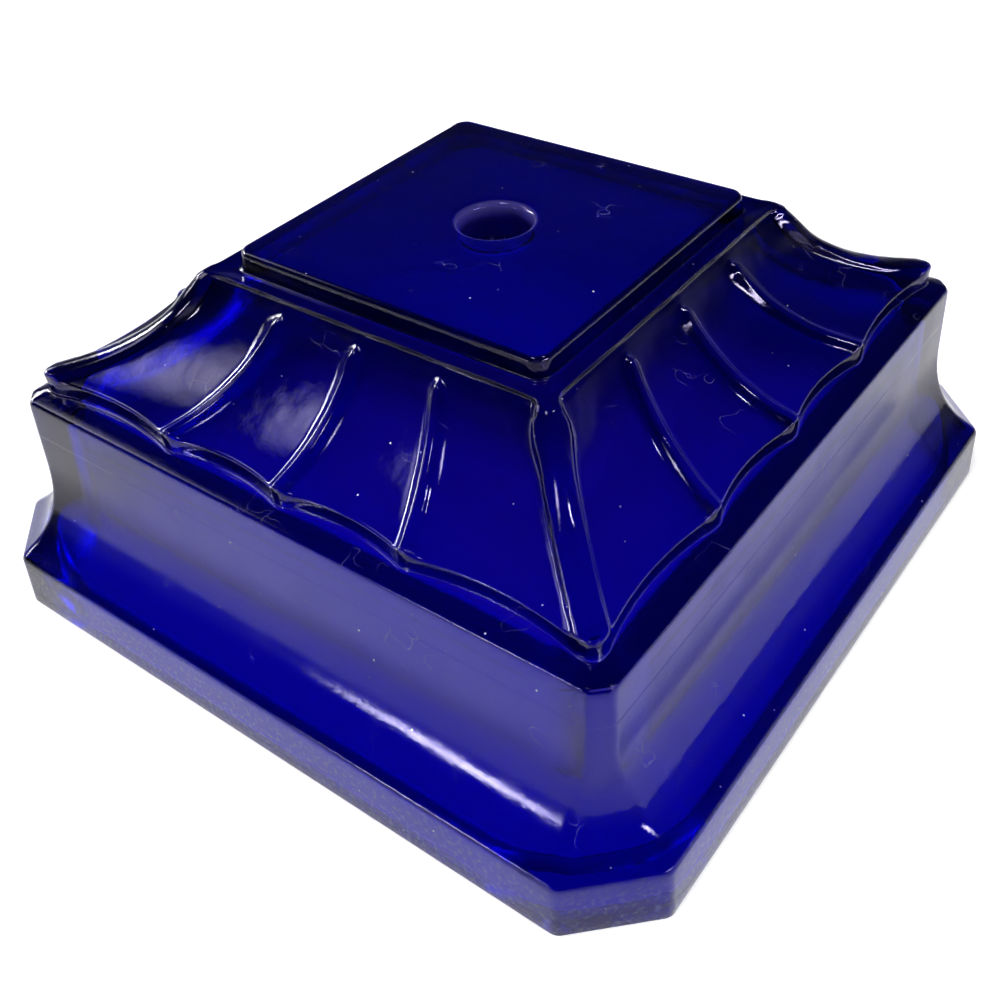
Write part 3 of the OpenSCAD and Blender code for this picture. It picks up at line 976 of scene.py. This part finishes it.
def seamless_paper():
    material = bpy.data.materials.new("white_seamless_paper")
    material.use_nodes = True
    tree = material.node_tree
    tree.nodes.clear()
    rays = add_node(tree, "ShaderNodeLightPath").outputs
    seen = add_node(tree, "ShaderNodeMath", {
        0: rays["Is Camera Ray"], 1: rays["Is Glossy Ray"]}, operation="ADD")
    seen = add_node(tree, "ShaderNodeMath", {
        0: seen.outputs[0], 1: rays["Is Transmission Ray"]}, operation="ADD", use_clamp=True)
    place = add_node(tree, "ShaderNodeTexCoord").outputs["Object"]
    away = add_node(tree, "ShaderNodeVectorMath", {0: place}, operation="LENGTH")
    # painted pool of light: the glow fades with distance from the base
    pool = add_node(tree, "ShaderNodeMapRange", {
        "Value": away.outputs["Value"], "From Min": glow_near, "From Max": glow_far,
        "To Min": glow_most, "To Max": 0.0}, interpolation_type="SMOOTHSTEP")
    up = add_node(tree, "ShaderNodeSeparateXYZ", {"Vector": place}).outputs["Z"]
    dim = add_node(tree, "ShaderNodeMapRange", {
        "Value": up, "From Min": fade_low, "From Max": fade_high,
        "To Min": 1.0, "To Max": fade_least}, interpolation_type="SMOOTHSTEP")
    glow = add_node(tree, "ShaderNodeEmission", {
        "Color": linear("#ffffff"), "Strength": pool.outputs[0]})
    shade = add_node(tree, "ShaderNodeMixRGB", {
        0: dim.outputs[0], 1: linear("#000000"), 2: linear(PAPER_WHITE)})
    matt = add_node(tree, "ShaderNodeBsdfDiffuse", {"Color": shade.outputs[0]})
    both = add_node(tree, "ShaderNodeAddShader", {0: matt.outputs[0], 1: glow.outputs[0]})
    pick = add_node(tree, "ShaderNodeMixShader", {
        0: seen.outputs[0], 1: matt.outputs[0], 2: both.outputs[0]})
    add_node(tree, "ShaderNodeOutputMaterial", {"Surface": pick.outputs[0]})
    return material


paper = seamless_paper()
print("made", paper.name)

# %% Floor and backdrop
floor_z, floor_near, floor_far = -0.0001, 0.5, 2.0  # metres
turn_from, turn_r, TURN_STEPS, backdrop_h = 2.4, 0.4, 12, 1.6
AROUND = 96


def ring_at(out, up):
    """Points of a level circle round the base."""
    angles = [2 * math.pi * i / AROUND for i in range(AROUND)]
    return [(out * math.cos(a), out * math.sin(a), up) for a in angles]


def dish(name, outline, material):
    """A floor that runs out and turns up, from (out, up) points in metres."""
    points = [(0.0, 0.0, outline[0][1])]
    faces = [(0, 1 + i, 1 + (i + 1) % AROUND) for i in range(AROUND)]
    for j, (out, up) in enumerate(outline):
        points += ring_at(out, up)
        if j:
            inner_ring = 1 + (j - 1) * AROUND
            pairs = [(inner_ring + i, inner_ring + (i + 1) % AROUND) for i in range(AROUND)]
            faces += [(a, a + AROUND, b + AROUND, b) for a, b in pairs]
    data = bpy.data.meshes.new(name)
    data.from_pydata(points, [], faces)
    data.polygons.foreach_set("use_smooth", [True] * len(faces))
    data.materials.append(material)
    obj = bpy.data.objects.new(name, data)
    bpy.context.scene.collection.objects.link(obj)
    return obj


turn = [math.pi / 2 * k / TURN_STEPS for k in range(TURN_STEPS + 1)]
turned_up = [(turn_from + turn_r * math.sin(a), turn_r - turn_r * math.cos(a)) for a in turn]
floor = dish("paper_floor", [(floor_near, floor_z), (floor_far, floor_z), *turned_up,
                             (turn_from + turn_r, backdrop_h)], paper)
print("floor:", len(floor.data.polygons), "faces")

# %% [markdown]
# ## Lamps
# Glass is lit by what it mirrors, so the lamps are soft boxes, placed where each of the
# glass's faces throws one back: long strips for the ribs and the two walls, windows for
# the broad sheen on the left, and a softbox and a spot above for the crests. Hard edges
# would look like stickers on the glass, so each lamp fades out towards its own edges.

# %% Lamps
def lamp(name, place, long_axis, size, power):
    """A softbox that looks at the base. Its size is (along its long axis, across)."""
    light = bpy.data.lights.new(name, "AREA")
    light.shape = "RECTANGLE"
    light.size, light.size_y = size
    light.energy = power
    light.use_nodes = True
    tree = light.node_tree
    # A lamp's own coordinates run from 0 to 1, so its middle is at a half.
    spot = add_node(tree, "ShaderNodeNewGeometry").outputs["Parametric"]
    centred = add_node(tree, "ShaderNodeVectorMath", {0: spot, 1: (0.5, 0.5, 0)},
                       operation="SUBTRACT")
    off = add_node(tree, "ShaderNodeVectorMath", {0: centred.outputs[0]}, operation="LENGTH")
    fade = add_node(tree, "ShaderNodeMapRange", {
        "Value": off.outputs["Value"], "From Max": 0.5, "To Min": 1.0, "To Max": 0.0},
        interpolation_type="SMOOTHSTEP")
    tree.links.new(fade.outputs[0], tree.nodes["Emission"].inputs["Strength"])
    obj = bpy.data.objects.new(name, light)
    back = Vector(place).normalized()
    side = (Vector(long_axis) - back * back.dot(Vector(long_axis))).normalized()
    turned = Matrix((side, back.cross(side), back)).transposed().to_4x4()
    turned.translation = place
    obj.matrix_world = turned
    bpy.context.scene.collection.objects.link(obj)


LAMPS = (  # name, place and long axis, size in metres, and watts
    ("overhead_softbox", (-0.05, -0.57, 1.28), (1, 0, 0), (0.50, 0.50), 28),
    ("right_spot", (0.56, 0.21, 1.26), (1, 0, 0), (0.22, 0.22), 14),
    ("right_strip", (1.186, -0.041, 0.48), (0.035, 0.999, 0), (1.40, 0.20), 54),
    ("left_strip", (-1.158, -0.152, 0.472), (-0.13, 0.99, 0), (1.20, 0.30), 54),
    ("left_window", (-0.89, -0.33, 0.79), (0.3, 1, 0), (0.75, 0.52), 7.5),
    ("low_window", (-0.505, -1.249, 0.25), (0.927, -0.375, 0.2), (0.50, 0.20), 18),
)
for lamp_row in LAMPS:
    lamp(*lamp_row)
print("lamps:", len(LAMPS))

# %% The studio round them
room_light = 0.012  # only enough to keep black from being quite black

world = bpy.data.worlds.new("dim_studio")
bpy.context.scene.world = world
world.use_nodes = True
background = world.node_tree.nodes["Background"].inputs
background["Color"].default_value = linear("#ffffff")
background["Strength"].default_value = room_light
bpy.context.scene.view_settings.view_transform = "Standard"
print("world:", world.name)

# %% [markdown]
# ## Camera
# The base is seen from above one corner, a little to the right, from about 21 cm away.
# The camera's place, the way it looks and its lens were solved together from the base's
# own parallel edges, so they belong together: none of them can change alone.

# %% Camera
camera_place = (97.574 * MM, -124.907 * MM, 137.644 * MM)
camera_looks = (-0.48074, 0.59246, -0.64643)
camera_up = (-0.35537, 0.54232, 0.76132)

camera_data = bpy.data.cameras.new("camera")
camera_data.sensor_width, camera_data.lens = 36.0, 42.83  # millimetres
camera_data.clip_start = 0.01
camera = bpy.data.objects.new("camera", camera_data)
forward = Vector(camera_looks).normalized()
right = forward.cross(Vector(camera_up)).normalized()
pose = Matrix((right, right.cross(forward), -forward)).transposed().to_4x4()
pose.translation = camera_place
camera.matrix_world = pose
bpy.context.scene.collection.objects.link(camera)
bpy.context.scene.camera = camera
print("camera", round(1000 * Vector(camera_place).length), "mm from the base")
